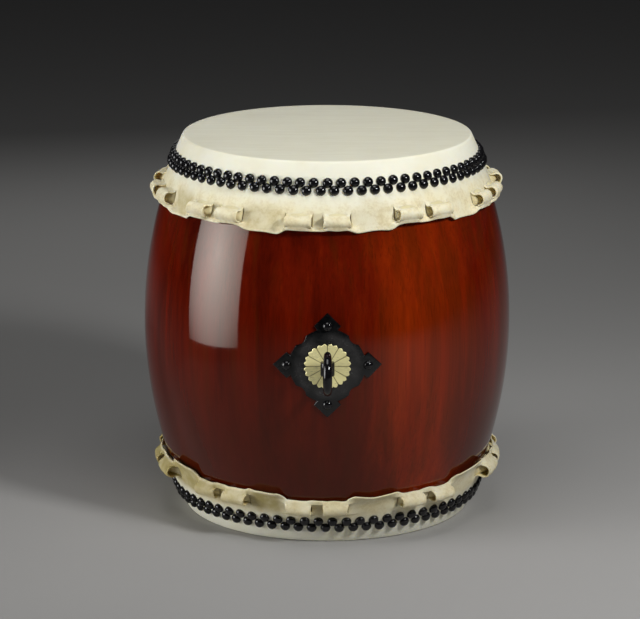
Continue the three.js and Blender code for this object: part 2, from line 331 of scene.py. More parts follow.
brassLook = {
    "bright": rgb(255, 247, 188),
    "dull": rgb(243, 229, 150),
    "groove": rgb(120, 104, 52),
    "roughness": (0.26, 0.32),
    "brush": ((0.06, 1, 1), 900.0, 3.0, 0.6),
    "cloud": (plain, 70.0, 3.0),
}


def brassFinish(look):
    finish, board, shader = newFinish("brushed_pale_brass")
    brush, cloud = board.layers(look, "brush", "cloud")
    colour = board.blend(brush * 0.12 + cloud * 0.5, look["bright"], look["dull"])
    board.fill(shader, {
        "Base Color": board.blend(board.attribute("groove"), colour, look["groove"]),
        "Metallic": 0.25,
        "Roughness": board.span(brush * 0.4 + cloud * 0.6, 0.3, 0.7, *look["roughness"]),
        "Normal": board.bump(brush, 0.015, 0.0003),
    })
    return finish


lacquer = lacquerFinish(lacquerLook)
hideSkin = hideFinish(hideLook)
glossBlack = glossBlackFinish(enamelLook)
satinBlack = satinBlackFinish(plateLook)
brass = brassFinish(brassLook)
print("finishes made")


# Barrel: radii and heights in metres, the floor at height 0
barrel = {
    "height": 0.606,
    "belly": 0.293,
    "mouth": 0.2265,
    "wall": 0.03,
    "headRoom": 0.0035,   # hide thickness and its gap at each mouth
    "chamfer": 0.002,
    "segments": 176,
    "rows": 72,
    "sharpFrom": 40,
}
middle = barrel["height"] / 2
woodHalf = middle - barrel["headRoom"]
swell = barrel["belly"] - barrel["mouth"]
bulgeArc = (woodHalf ** 2 + swell ** 2) / (2 * swell)


def barrelRadius(height):
    return barrel["belly"] - bulgeArc + np.sqrt(bulgeArc ** 2 - (height - middle) ** 2)


def linkMesh(name, mesh, finish):
    mesh.materials.append(finish)
    mesh.polygons.foreach_set("use_smooth", [True] * len(mesh.polygons))
    mesh.update()
    made = bpy.data.objects.new(name, mesh)
    scene.collection.objects.link(made)
    return made


def newObject(name, points, faces, finish):
    mesh = bpy.data.meshes.new(name)
    mesh.from_pydata([tuple(p) for p in points], [], [tuple(int(i) for i in f) for f in faces])
    mesh.validate()
    return linkMesh(name, mesh, finish)


def setShare(mesh, name, values):
    attribute = mesh.attributes.new(name, "FLOAT", "POINT")
    attribute.data.foreach_set("value", np.asarray(values, np.float32))


def getPoints(made):
    points = np.zeros(len(made.data.vertices) * 3)
    made.data.vertices.foreach_get("co", points)
    return points.reshape(-1, 3)


def setPoints(made, points):
    made.data.vertices.foreach_set("co", points.ravel())
    made.data.update()
    return made


# Angles spread evenly round a full turn
def turns(count):
    return [2 * math.pi * i / count for i in range(count)]


# Quads between rows of points, each row a closed loop. The last row may join the first.
def rowFaces(rows, size, isRound=False):
    faces = []
    for row in range(rows if isRound else rows - 1):
        here, there = row * size, (row + 1) % rows * size
        for i in range(size):
            j = (i + 1) % size
            faces.append((here + i, here + j, there + j, there + i))
    return faces


# Faces of a slab: a front grid of points, a back grid of as many, and the rim between them.
# The corner at which a quad starts decides its diagonal.
def slabFaces(rows, columns, first=0, corner=0):
    count = rows * columns
    faces = []
    for i in range(rows - 1):
        for j in range(columns - 1):
            a = first + i * columns + j
            front = (a, a + columns, a + columns + 1, a + 1)
            front = front[corner:] + front[:corner]
            faces += [front, tuple(count + k for k in reversed(front))]
    rim = list(range(columns)) + [i * columns + columns - 1 for i in range(1, rows)]
    rim += [(rows - 1) * columns + j for j in range(columns - 2, -1, -1)]
    rim += [i * columns for i in range(rows - 2, 0, -1)]
    for a, b in zip(rim, rim[1:] + rim[:1]):
        faces.append((first + a, first + b, first + b + count, first + a + count))
    return faces


# A closed profile of radius and height corners turned round the drum's axis
def spin(name, profile, segments, finish):
    points = [(r * math.sin(a), -r * math.cos(a), z) for a in turns(segments) for r, z in profile]
    faces = [(a, d, c, b) for a, b, c, d in rowFaces(segments, len(profile), True)]
    return newObject(name, points, faces, finish)


def sharpen(made, degrees):
    made.data.set_sharp_from_angle(angle=math.radians(degrees))
    return made


def makeBarrel(spec):
    low, high = spec["headRoom"], spec["height"] - spec["headRoom"]
    edge = spec["chamfer"]
    outer = [(float(barrelRadius(z)), z) for z in np.linspace(low + edge, high - edge, spec["rows"])]
    inner = [(float(barrelRadius(z)) - spec["wall"], z) for z in np.linspace(high, low, spec["rows"] // 2)]
    mouth = float(barrelRadius(high)) - edge
    profile = [(mouth, low), *outer, (mouth, high), *inner]
    return sharpen(spin("barrel_lacquered", profile, spec["segments"], lacquer), spec["sharpFrom"])


body = makeBarrel(barrel)
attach(body, "drum")
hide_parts("body_shell")
print("barrel made")


# Hides: depth is measured from the head's face, down the side. Angles in degrees from the front.
# Each unit of the hem is two belt loops with a slot between them, and flaps lie between the units.
hideShape = {
    "thickness": 0.0024,
    "rimRounding": 0.0055,
    "headRings": (0.02, 0.06, 0.11, 0.16, 0.195, 0.215, 0.2225),
    "rimSteps": 5,
    "headEdge": 0.3,         # share of the rim that still has the head's look
    "sideShares": (0.1, 0.22, 0.34, 0.46, 0.57, 0.66, 0.74, 0.81, 0.87, 0.92, 0.96, 0.985),
    "slitSteps": 20,
    # How far each side of a slit is drawn back: a loop is drawn further from a flap than from a slot
    "slitGaps": {"outer": 0.0044, "inner": 0.0022, "slot": 0.0008, "flap": 0.0009},
    "gapPower": 0.45,
    "slitRadius": 0.265,     # of the barrel about the slits
    "loopColumns": 12,
    "slotColumns": 6,
    "flapColumns": 18,
    "flapCrowding": 0.75,    # of a flap's columns towards its ends
    "loopAngle": 9.2,
    "slotAngle": 3.7,
    "slotSpread": (0.92, 1.08),
    "loopSpread": (0.97, 1.05),
    "pushRange": (0.9, 1.12),
    "skewRange": (-0.15, 0.15),
    # A loop is a ramp that runs into a round roll, in shares of its slit's length
    "creaseLift": 0.0015,
    "creaseAngle": 4.0,      # a flap loses the loops' crease over this angle
    "creaseRun": 0.018,      # the crease begins this far above the slits, but not above the tacks' end
    "creaseEnd": 0.001,
    "creaseFade": 0.4,
    "tackEnd": 0.0495,
    "rampSteps": 0.3,        # share of the slit's rows
    "rampBend": 0.75,
    "rollRadius": 0.39,
    "rollCentre": (0.665, 0.40),   # along the slit from its upper end, and off the hide
    "rollStart": 95,         # turn from the roll's crest at which it begins
    "rollWander": (0.1, 0.42, 2.6),   # size, along the rim and along the slit
    "tieAngle": 1.8,         # over this angle from its ends the roll is closed below
    "foldAngle": 2.9,        # the hide beside a loop falls back to the barrel over this angle
    "foldStart": 0.6,
    "foldWiden": 0.5,
    "mouthRound": 0.72,      # from this share on, a slit's lower end is round
    "cornerStart": 0.7,      # a flap's corner begins inside the loop and is full at its end
    "cornerEnd": 2.0,
    "flapAngle": 3.0,        # a flap's curl and age are full past this angle from a slit
    "curlRun": 0.013,
    "curlPower": 2.2,
    "hemShares": (0.14, 0.28, 0.42, 0.55, 0.67, 0.78, 0.89, 1.0),
    "hemDepths": (-0.03, 0.004),      # the hem's look begins and is full, from the slits' upper ends
    "edgeWander": (0.0012, 0.2, 3.0),   # size, along the rim, and its row in the noise
    "waves": (0.0008, 0.12, 45),        # size, along the rim and down the side
    "waveDepths": (0.05, 0.085),        # the waves begin and are full
    "edgeTurns": (0.25, 0.5, 0.75),   # steps of the rounded edge, in half turns
    # each step of the cut edge takes this much more of the inner side's painted shade and glow
    "edgeTint": 0.12,
    "slitEnd": 0.35,         # where the edge turns back, its two directions add up to less than this
    "ageAndShadeAngle": -80,        # towards this angle the hem is browner, from age and painted shade, than on the far side
    "ageAndShadePower": 2.4,
    "ageAndShadeDepths": (-0.015, 0.006),
    "lipShares": (0.6, 0.95),
    "lipSpared": 0.8,
}
# The feet of a loop, drawn together behind it
loopBack = {
    "inset": 0.4,            # degrees from the loop's ends
    "overlap": 0.001,
    "columns": 13,
    "levels": 12,
    "base": 0.002,
    "bulge": 0.55,           # of the slit's length, at a loop's middle
    "acrossPower": 0.8,
    "sagPower": 1.1,
    "downPower": 0.9,
    "layers": ((0.0017, 1), (0.0006, 0)),   # stand-off of front and back, and which of them bulges
    # the backs' share of the inner side's painted shade and glow
    "tint": 0.6,
}
# A unit: centre angle, depth of its slits' upper and lower ends, depth of its edge, width of its loops.
# A flap: what its edge hangs beyond the units' at its start, middle and end, and how far it curls off.
topHide = {
    "name": "top_hide_skin",
    "upward": 1,
    "seed": 11,
    "edgeLifts": (0.48, 0.30),   # stand-off of the hem's edge past a loop's middle and ends, in slit lengths
    "ageAndPaintedShade": (0.8, 0.2),          # flaps and loops
    "units": (
        (-3.2, 0.0728, 0.0952, 0.0992, 1.0), (33.5, 0.0670, 0.0902, 0.0945, 1.0),
        (70.0, 0.0672, 0.0912, 0.0960, 1.0), (105.5, 0.0685, 0.0930, 0.0980, 1.0),
        (142.0, 0.0690, 0.0925, 0.0975, 1.0), (178.5, 0.0700, 0.0930, 0.0985, 1.0),
        (215.0, 0.0690, 0.0925, 0.0975, 1.0), (251.5, 0.0695, 0.0935, 0.0985, 1.0),
        (284.0, 0.0698, 0.0938, 0.0988, 1.0), (319.7, 0.0708, 0.0942, 0.0988, 1.0)),
    "flaps": (
        (0.0036, 0.0030, 0.0058, 0.0012), (0.0052, 0.0040, 0.0045, 0.0012),
        (0.0050, 0.0035, 0.0050, 0.0012), (0.0040, 0.0040, 0.0050, 0.0012),
        (0.0050, 0.0045, 0.0040, 0.0012), (0.0045, 0.0040, 0.0055, 0.0012),
        (0.0050, 0.0030, 0.0040, 0.0012), (0.0040, 0.0045, 0.0050, 0.0012),
        (0.0055, 0.0040, 0.0052, 0.0012), (0.0036, 0.0036, 0.0056, 0.0012)),
}
bottomHide = {
    "name": "bottom_hide_skin",
    "upward": -1,
    "seed": 23,
    "edgeLifts": (0.15, 0.11),
    "ageAndPaintedShade": (1.9, 1.05),
    "units": (
        (-3.5, 0.0515, 0.0715, 0.0770, 1.0), (36.2, 0.0565, 0.0778, 0.0830, 1.0),
        (79.6, 0.0625, 0.0890, 0.0965, 1.28), (110.5, 0.0680, 0.0930, 0.0985, 1.0),
        (145.0, 0.0710, 0.0918, 0.0970, 1.0), (179.0, 0.0705, 0.0915, 0.0970, 1.0),
        (213.0, 0.0715, 0.0920, 0.0975, 1.0), (250.0, 0.0685, 0.0925, 0.0980, 1.0),
        (282.6, 0.0650, 0.0892, 0.0955, 1.15), (321.0, 0.0580, 0.0805, 0.0872, 1.0)),
    "flaps": (
        (0.0078, 0.0012, 0.0040, 0.0058), (0.0090, 0.0068, 0.0060, 0.0076),
        (0.0020, 0.0004, 0.0020, 0.0010), (0.0060, 0.0055, 0.0075, 0.0060),
        (0.0080, 0.0060, 0.0070, 0.0060), (0.0070, 0.0050, 0.0065, 0.0060),
        (0.0060, 0.0070, 0.0080, 0.0060), (0.0020, 0.0004, 0.0020, 0.0010),
        (0.0110, 0.0110, 0.0130, 0.0076), (0.0040, 0.0066, 0.0100, 0.0082)),
}


def smoothStep(low, high, value):
    share = min(1.0, max(0.0, (value - low) / (high - low)))
    return share * share * (3 - 2 * share)


def wander(x, y, seed):
    return noise.noise(Vector((x, y, seed * 7.31)))   # seeds lie far apart in the noise


# What a flap's edge hangs beyond the units', from its start to its end
def flapHang(flap, share):
    first, half, last = flap[:3]
    return first + (half - first) * smoothStep(0, 0.5, share) + (last - half) * smoothStep(0.5, 1, share)


# How much of a flap's corner hangs at a distance from the slit, which is less than 0 inside the loop
def cornerShare(gap, shape):
    share = (gap + shape["cornerStart"]) / (shape["cornerStart"] + shape["cornerEnd"])
    return min(1.0, max(0.0, share))


# The angles at which each unit is cut, from the left loop's start to the right loop's end
def unitCuts(spec, shape, draw):
    cuts = []
    for centre, *depths, width in spec["units"]:
        slot = shape["slotAngle"] / 2 * draw.uniform(*shape["slotSpread"])
        left, right = width * shape["loopAngle"] * draw.uniform(*shape["loopSpread"], 2)
        cuts.append((centre - slot - left, centre - slot, centre + slot, centre + slot + right))
    return cuts


# The strips round the hem, each with its column angles and, column by column, the depths of slits and edge.
# Reach is the distance of a column from the nearest slit, in degrees.
def hideStrips(spec, shape, draw):
    cuts = unitCuts(spec, shape, draw)
    strips = []
    for i, (a, b, c, d) in enumerate(cuts):
        j = (i + 1) % len(cuts)
        after = cuts[j][0] + (360 if j == 0 else 0)
        here, there = np.array(spec["units"][i][1:4]), np.array(spec["units"][j][1:4])
        flap = spec["flaps"][i]
        hangs = {"left": spec["flaps"][i - 1][2], "right": flap[0]}
        parts = (("loop", a, b, "left"), ("slot", b, c, ""), ("loop", c, d, "right"), ("flap", d, after, ""))
        for kind, start, end, side in parts:
            t = np.linspace(0, 1, shape[kind + "Columns"] + 1)
            if kind == "flap":
                t = t - shape["flapCrowding"] * np.sin(2 * math.pi * t) / (2 * math.pi)
            angles = start + (end - start) * t
            depths, base, reach = [], [], []
            for share, angle in zip(t, angles):
                near = min(angle - start, end - angle)
                level, corner = here.copy(), 0.0
                if kind == "flap":
                    level = here + (there - here) * share
                    corner = flapHang(flap, share) * cornerShare(near, shape)
                elif kind == "loop":
                    gap = angle - start if side == "left" else end - angle
                    corner = hangs[side] * cornerShare(-gap, shape)
                base.append(level[2])
                level[2] += corner
                depths.append(level)
                reach.append(near)
            push, skew = draw.uniform(*shape["pushRange"]), draw.uniform(*shape["skewRange"])
            strips.append({"kind": kind, "side": side, "angles": angles, "depths": depths, "base": base,
                           "reach": reach, "curl": flap[3], "push": push, "skew": skew})
    return strips


# Way down from its crease and stand-off of a belt loop, t from 0 at the crease to 1 at its slits' lower ends
def loopAt(t, reach, length, shape):
    side, out = shape["rollCentre"]
    radius, ramp, start = shape["rollRadius"], shape["rampSteps"], math.radians(shape["rollStart"])
    closed = math.pi - math.asin((1 - side) / radius)
    last = -closed + (2 * closed - math.pi) * smoothStep(0, shape["tieAngle"], reach)
    turn = start + (last - start) * max(0.0, (t - ramp) / (1 - ramp))
    down, lift = side - radius * math.sin(turn), out + radius * math.cos(turn)
    if t < ramp:
        share = t / ramp
        before, between, past = (1 - share) ** 2, 2 * share * (1 - share), share ** 2
        bend = shape["rampBend"] * radius
        low = shape["creaseLift"] / length
        down = between * (down - bend * math.cos(start)) + past * down
        lift = before * low + between * (lift - bend * math.sin(start)) + past * lift
    return down * length, lift * length


def hideRows(shape):
    rows = [("head", r) for r in shape["headRings"]]
    rows += [("rim", i / shape["rimSteps"]) for i in range(shape["rimSteps"] + 1)]
    rows += [("side", s) for s in shape["sideShares"]]
    rows += [("slit", k / shape["slitSteps"]) for k in range(shape["slitSteps"] + 1)]
    rows += [("hem", t) for t in shape["hemShares"]]
    return rows


# Depth and stand-off of a point below the rim, and how far it is drawn aside from a slit
def hemPoint(kind, value, strip, column, spec, shape):
    angle, reach = strip["angles"][column], strip["reach"][column]
    top, end, edge = strip["depths"][column]
    base, length = strip["base"][column], end - top
    seed, columns = spec["seed"], len(strip["angles"]) - 1
    fromEnd = min(column, columns - column)
    isFlap, isLoop = strip["kind"] == "flap", strip["kind"] == "loop"
    tie = loopAt(1.0, 0.0, length, shape)[1]
    crease = shape["creaseLift"]
    if isFlap:
        crease *= 1 - smoothStep(0, shape["creaseAngle"], reach)
    shift = 0.0
    if kind == "side":
        depth = shape["rimRounding"] + (top - shape["rimRounding"]) * value
        start = max(top - shape["creaseRun"], shape["tackEnd"])
        lift = crease * smoothStep(start, top + shape["creaseEnd"], depth)
    elif kind == "slit":
        opening = math.sin(math.pi * value)
        part = (1 - math.cos(math.pi * value)) / 2
        depth = top + length * part
        lift = crease * (1 - smoothStep(0, shape["creaseFade"], part))
        mouth = shape["mouthRound"]
        bend = 1 - math.sqrt(1 - max(0.0, (part - mouth) / (1 - mouth)) ** 2)
        if isLoop:
            down, lift = loopAt(value, reach, length, shape)
            depth = top + down
            size, alongRim, alongSlit = shape["rollWander"]
            rough = 1 + strip["skew"] * (column / columns - 0.5)
            rough += size * wander(angle * alongRim, value * alongSlit, seed + 2)
            lift *= 1 + (strip["push"] * rough - 1) * opening
        elif isFlap:
            width = shape["foldStart"] + (shape["foldAngle"] - shape["foldStart"]) * part
            lift += tie * bend * (1 - smoothStep(0, width, reach))
        else:
            lift += tie * bend
        if fromEnd < 2:
            isLeft = column < columns / 2
            place = strip["kind"]
            if isLoop:
                place = "outer" if isLeft == (strip["side"] == "left") else "inner"
            drawn = shape["slitGaps"][place] * opening ** shape["gapPower"] / (1 + fromEnd)
            shift = (1 if isLeft else -1) * math.degrees(drawn / shape["slitRadius"])
    else:
        inside = reach if isLoop else 0.0
        down, first = loopAt(1.0, inside, length, shape)
        foot = top + down
        most, least = spec["edgeLifts"]
        share = least + (most - least) * smoothStep(0, shape["tieAngle"], inside)
        size, alongRim, row = shape["edgeWander"]
        depth = foot + (edge - foot) * value + size * value * wander(angle * alongRim, row, seed)
        lift = first + (share * length - first) * min(1.0, (depth - foot) / (base - foot))
        if isFlap:
            lift *= 1 - smoothStep(0, shape["foldAngle"] + shape["foldWiden"] * value, reach)
    if isFlap:
        run = shape["curlRun"]
        curl = min(1.0, max(0.0, (depth - end + run) / (edge - end + run)))
        lift += strip["curl"] * smoothStep(0, shape["flapAngle"], reach) * curl ** shape["curlPower"]
    size, alongRim, down = shape["waves"]
    wave = size * smoothStep(*shape["waveDepths"], depth)
    lift += wave * wander(angle * alongRim, depth * down, seed + 1)
    return depth, lift, shift


# Radius, depth and angle of any point of a hide
def hidePoint(kind, value, strip, column, spec, shape):
    angle = strip["angles"][column]
    skin = barrel["headRoom"]
    if kind == "head":
        return value, 0.0, angle
    if kind == "rim":
        rounding = shape["rimRounding"]
        lean = math.asin(woodHalf / bulgeArc)
        rim = float(barrelRadius(barrel["height"] - rounding * (1 - math.sin(lean)))) + skin
        turn = math.pi / 2 + (lean - math.pi / 2) * value
        return rim + rounding * (math.cos(turn) - math.cos(lean)), rounding * (1 - math.sin(turn)), angle
    depth, lift, shift = hemPoint(kind, value, strip, column, spec, shape)
    height = barrel["height"] - depth
    lean = math.asin((height - middle) / bulgeArc)
    radius = float(barrelRadius(height)) + skin + lift * math.cos(lean)
    return radius, depth - lift * math.sin(lean), angle + shift


# The flaps are browner than the loops, apart from their edges: partly age, partly painted shade in their
# hollows and towards the left side
def agedShare(kind, value, depth, strip, column, spec, shape):
    flaps, loops = spec["ageAndPaintedShade"]
    inside = smoothStep(0, shape["flapAngle"], strip["reach"][column]) if strip["kind"] == "flap" else 0.0
    lip = smoothStep(*shape["lipShares"], value) if kind == "hem" else 0.0
    turn = math.radians(strip["angles"][column] - shape["ageAndShadeAngle"])
    around = (0.5 + 0.5 * math.cos(turn)) ** shape["ageAndShadePower"]
    full = smoothStep(*shape["ageAndShadeDepths"], depth - strip["depths"][column][0])
    brown = loops + (flaps - loops) * inside
    return min(1.0, full * around * brown * (1 - shape["lipSpared"] * lip))


# Columns meet at the strips' ends, apart from the rows in which a slit is open
def makeHide(spec, shape):
    strips = hideStrips(spec, shape, np.random.default_rng(spec["seed"]))
    rows = hideRows(shape)
    points = [(0.0, 0.0, 0.0)]
    share = {"headShare": [1.0], "hemShare": [0.0], "agedShare": [0.0]}
    index = {}
    for r, (kind, value) in enumerate(rows):
        isOpen = kind == "slit" and 0 < value < 1
        isHead = kind == "head" or (kind == "rim" and value < shape["headEdge"])
        for s, strip in enumerate(strips):
            last = len(strip["angles"]) - 1
            for c in range(last + 1 if isOpen else last):
                radius, depth, turned = hidePoint(kind, value, strip, c, spec, shape)
                a = math.radians(turned)
                index[r, s, c] = len(points)
                points.append((radius * math.sin(a), -radius * math.cos(a), -depth))
                below = depth - strip["depths"][c][0]
                share["headShare"].append(float(isHead))
                share["hemShare"].append(smoothStep(*shape["hemDepths"], below))
                share["agedShare"].append(agedShare(kind, value, depth, strip, c, spec, shape))
        if not isOpen:
            for s, strip in enumerate(strips):
                index[r, s, len(strip["angles"]) - 1] = index[r, (s + 1) % len(strips), 0]
    faces = []
    for s, strip in enumerate(strips):
        for c in range(len(strip["angles"]) - 1):
            faces.append((0, index[0, s, c], index[0, s, c + 1]))
            for r in range(len(rows) - 1):
                faces.append((index[r, s, c], index[r + 1, s, c], index[r + 1, s, c + 1], index[r, s, c + 1]))
    return thicken(spec, shape, np.array(points), faces, share, loopBacks(strips, loopBack))


# A closed strip on the barrel behind each loop, which bulges into the loop
def loopBacks(strips, spec):
    points, faces = [], []
    wide = spec["columns"]
    for strip in strips:
        if strip["kind"] != "loop":
            continue
        top, end = strip["depths"][0][:2]
        ends = strip["angles"][0] + spec["inset"], strip["angles"][-1] - spec["inset"]
        angles = np.radians(np.linspace(*ends, wide))
        across = np.sin(np.linspace(0, math.pi, wide)).clip(0) ** spec["acrossPower"]
        swells = spec["base"] + spec["bulge"] * (end - top) * across
        levels = np.linspace(top - spec["overlap"], end + spec["overlap"], spec["levels"])
        faces += slabFaces(len(levels), wide, len(points))
        for off, isFace in spec["layers"]:
            for depth in levels:
                share = (depth - levels[0]) / (levels[-1] - levels[0])
                full = isFace * math.sin(math.pi * min(1.0, share ** spec["sagPower"])) ** spec["downPower"]
                radii = float(barrelRadius(barrel["height"] - depth)) + off + full * swells
                points += [(r * math.sin(a), -r * math.cos(a), -depth) for r, a in zip(radii, angles)]
    return points, faces


# Gives a skin its thickness inwards, with rounded edges at the hem and along the slits
def thicken(spec, shape, points, faces, share, backs):
    thickness, steps = shape["thickness"], shape["edgeTurns"]
    draft = bpy.data.meshes.new("draft")
    draft.from_pydata([tuple(p) for p in points], [], faces)
    draft.update()
    normals = np.zeros(len(points) * 3)
    draft.vertex_normals.foreach_get("vector", normals)
    normals = normals.reshape(-1, 3)
    bpy.data.meshes.remove(draft)
    count = len(points)
    inner = points - normals * thickness
    uses = {(a, b) for face in faces for a, b in zip(face, face[1:] + face[:1])}
    border = [(a, b) for a, b in sorted(uses) if (b, a) not in uses]
    away = {}
    for a, b in border:
        out = np.cross(points[b] - points[a], normals[a] + normals[b])
        out = out / max(np.linalg.norm(out), 1e-9)
        away[a] = away.get(a, 0) + out / 2
        away[b] = away.get(b, 0) + out / 2
    edge = sorted(away)
    spot = {v: i for i, v in enumerate(edge)}
    extra = []
    for turn in steps:
        rise, reach = math.cos(math.pi * turn) * thickness / 2, math.sin(math.pi * turn) * thickness / 2
        for v in edge:
            size = np.linalg.norm(away[v])
            out = away[v] / size if size > shape["slitEnd"] else away[v] * 0
            extra.append((points[v] + inner[v]) / 2 + normals[v] * rise + out * reach)
    backPoints, backFaces = backs
    whole = np.concatenate([points, inner, np.array(extra), np.array(backPoints)])
    allFaces = list(faces) + [tuple(i + count for i in reversed(f)) for f in faces]
    starts = [2 * count + k * len(edge) for k in range(len(steps))]
    for a, b in border:
        chainA, chainB = [[v, *[s + spot[v] for s in starts], v + count] for v in (a, b)]
        for k in range(len(chainA) - 1):
            allFaces.append((chainB[k], chainA[k], chainA[k + 1], chainB[k + 1]))
    first = 2 * count + len(steps) * len(edge)
    allFaces += [tuple(i + first for i in f) for f in backFaces]
    whole[:, 2] *= spec["upward"]
    if spec["upward"] > 0:
        whole[:, 2] += barrel["height"]
    else:
        allFaces = [tuple(reversed(f)) for f in allFaces]
    made = newObject(spec["name"], whole, allFaces, hideSkin)
    behind = len(backPoints)
    for name, values in share.items():
        values = np.array(values)
        rims = [values[edge]] * len(steps)
        feet = np.full(behind, float(name == "hemShare"))
        setShare(made.data, name, np.concatenate([values, values, *rims, feet]))
    # the cut edges and loop backs take part of the inner side's painted shade and glow
    rims = [np.full(len(edge), shape["edgeTint"] * k) for k in range(len(steps))]
    feet = np.full(behind, loopBack["tint"])
    setShare(made.data, "innerSide", np.concatenate([np.zeros(count), np.ones(count), *rims, feet]))
    return made


for node, spec in (("top_hide", topHide), ("bottom_hide", bottomHide)):
    skin = makeHide(spec, hideShape)
    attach(skin, "drum")
    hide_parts(node)
    print(node, "made", len(skin.data.polygons), "faces")


# Tacks: two staggered rows on each hide
tackShape = {
    "profile": ((0.0078, 0.0), (0.008, 0.0013), (0.0072, 0.0039), (0.0049, 0.0062)),
    "crown": 0.0074,
    "sides": 14,
    "rowSpacing": 0.0113,
    "sink": 0.0002,
    "wander": 0.0005,
}
tackRows = {
    "top_hide": {
        "name": "top_tacks", "count": 74, "rowDepth": 0.0304, "start": 0.0, "upward": 1, "seed": 3},
    "bottom_hide": {
        "name": "bottom_tacks", "count": 71, "rowDepth": 0.0275, "start": -0.62, "upward": -1, "seed": 8},
}


# A turned knob along +Z, closed below and above
def knob(name, profile, crown, sides, finish):
    points = [(r * math.cos(a), r * math.sin(a), z) for r, z in profile for a in turns(sides)]
    points.append((0, 0, crown))
    faces = rowFaces(len(profile), sides)
    last = (len(profile) - 1) * sides
    faces += [(last + i, last + (i + 1) % sides, len(points) - 1) for i in range(sides)]
    faces.append(tuple(reversed(range(sides))))
    return newObject(name, points, faces, finish)


def newTree(name, inputs):
    tree = bpy.data.node_groups.new(name, "GeometryNodeTree")
    tree.interface.new_socket("Geometry", in_out="INPUT", socket_type="NodeSocketGeometry")
    tree.interface.new_socket("Geometry", in_out="OUTPUT", socket_type="NodeSocketGeometry")
    for label, kind in inputs.items():
        tree.interface.new_socket(label, in_out="INPUT", socket_type="NodeSocket" + kind)
    board = Board(tree)
    return tree, board, Wire(board, tree.nodes.new("NodeGroupInput").outputs["Geometry"])


# Ends a tree: instances on points become one mesh with its finish
def closeTree(board, points, piece, turn, finish):
    sockets = {"Points": points, "Instance": piece, "Rotation": turn}
    placed = board.node("GeometryNodeInstanceOnPoints", {}, sockets)
    whole = board.node("GeometryNodeRealizeInstances", {}, {"Geometry": placed})
    dressed = board.node("GeometryNodeSetMaterial", {}, {"Geometry": whole, "Material": finish})
    end = board.tree.nodes.new("NodeGroupOutput")
    board.tree.links.new(dressed.socket, end.inputs[0])


# Puts a tree on a piece and turns the result into a plain mesh
def repeat(made, tree, values):
    modifier = made.modifiers.new(tree.name, "NODES")
    modifier.node_group = tree
    sockets = {s.name: s.identifier for s in tree.interface.items_tree if s.in_out == "INPUT"}
    for name, value in values.items():
        modifier[sockets[name]] = value
    bpy.context.view_layer.update()
    graph = bpy.context.evaluated_depsgraph_get()
    mesh = bpy.data.meshes.new_from_object(made.evaluated_get(graph))
    made.modifiers.clear()
    made.data = mesh
    mesh.polygons.foreach_set("use_smooth", [True] * len(mesh.polygons))
    return made


def tackTree(finish):
    inputs = {"Count": "Int", "Start": "Float", "Radius": "Float", "Height": "Float", "Widening": "Float",
              "Drop": "Float", "Lean": "Float", "Wander": "Float", "Seed": "Int"}
    tree, board, given = newTree("tack_rows", inputs)
    count, start, wide = given.pick("Count"), given.pick("Start"), given.pick("Radius")
    number = board.node("GeometryNodeInputIndex")
    row = (number / count + 0.0001).floor()   # a little more, so that a whole number stays whole
    step = number - row * count
    offset = []
    for extra in (0, 57):   # two seeds, along the row and across it
        sockets = {2: given.pick("Wander") * -1, 3: given.pick("Wander"), "ID": number}
        sockets["Seed"] = given.pick("Seed") + extra
        offset.append(board.node("FunctionNodeRandomValue", {"data_type": "FLOAT"}, sockets, 1))
    angle = start + (step + row * 0.5) / count * (2 * math.pi) + offset[0] / wide
    radius = wide + row * given.pick("Widening")
    height = given.pick("Height") - row * given.pick("Drop") + offset[1] * 0.6
    spot = {0: radius * angle.sine(), 1: radius * angle.cosine() * -1, 2: height}
    spot = board.node("ShaderNodeCombineXYZ", {}, spot)
    points = board.node("GeometryNodePoints", {}, {"Count": count * 2, "Position": spot})
    tilt = board.node("ShaderNodeCombineXYZ", {}, {0: given.pick("Lean"), 2: angle})
    turn = board.node("FunctionNodeEulerToRotation", {}, {0: tilt})
    closeTree(board, points, given, turn, finish)
    return tree


def makeTacks(spec, shape, tree):
    made = knob(spec["name"], shape["profile"], shape["crown"], shape["sides"], glossBlack)
    first = barrel["height"] - spec["rowDepth"]
    second = first - shape["rowSpacing"]
    radii = [float(barrelRadius(z)) + barrel["headRoom"] - shape["sink"] for z in (first, second)]
    lean = math.asin((first - shape["rowSpacing"] / 2 - middle) / bulgeArc)
    return repeat(made, tree, {
        "Count": spec["count"],
        "Start": math.radians(spec["start"]),
        "Radius": radii[0],
        "Widening": radii[1] - radii[0],
        "Height": first if spec["upward"] > 0 else spec["rowDepth"],
        "Drop": shape["rowSpacing"] * spec["upward"],
        "Lean": math.pi / 2 - lean * spec["upward"],
        "Wander": shape["wander"],
        "Seed": spec["seed"],
    })


tackNodes = tackTree(glossBlack)
for node, spec in tackRows.items():
    tacks = makeTacks(spec, tackShape, tackNodes)
    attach(tacks, "drum")
    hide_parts(node)
    print(spec["name"], "made", len(tacks.data.polygons), "faces")


# Handles: flat shapes are drawn as seen from the front and laid on the barrel at a depth above its face
handle = {
    "plateBack": 0.0003,
    "plateFace": 0.0033,
    "plateReach": 0.082,
    "lobeHalf": 0.0203,
    "neckReach": 0.0555,
    "neckHalf": 0.0152,
    "pointRadius": 0.0567,   # two points in each quarter, a hollow between them
    "pointSpread": 10.4,
    "hollowRadius": 0.0517,
    "shoulderRise": 0.0007,
    "curveSteps": 8,
    "edgeBevel": 0.0009,
    "gridStep": 0.007,
    "sharpFrom": 35,
}


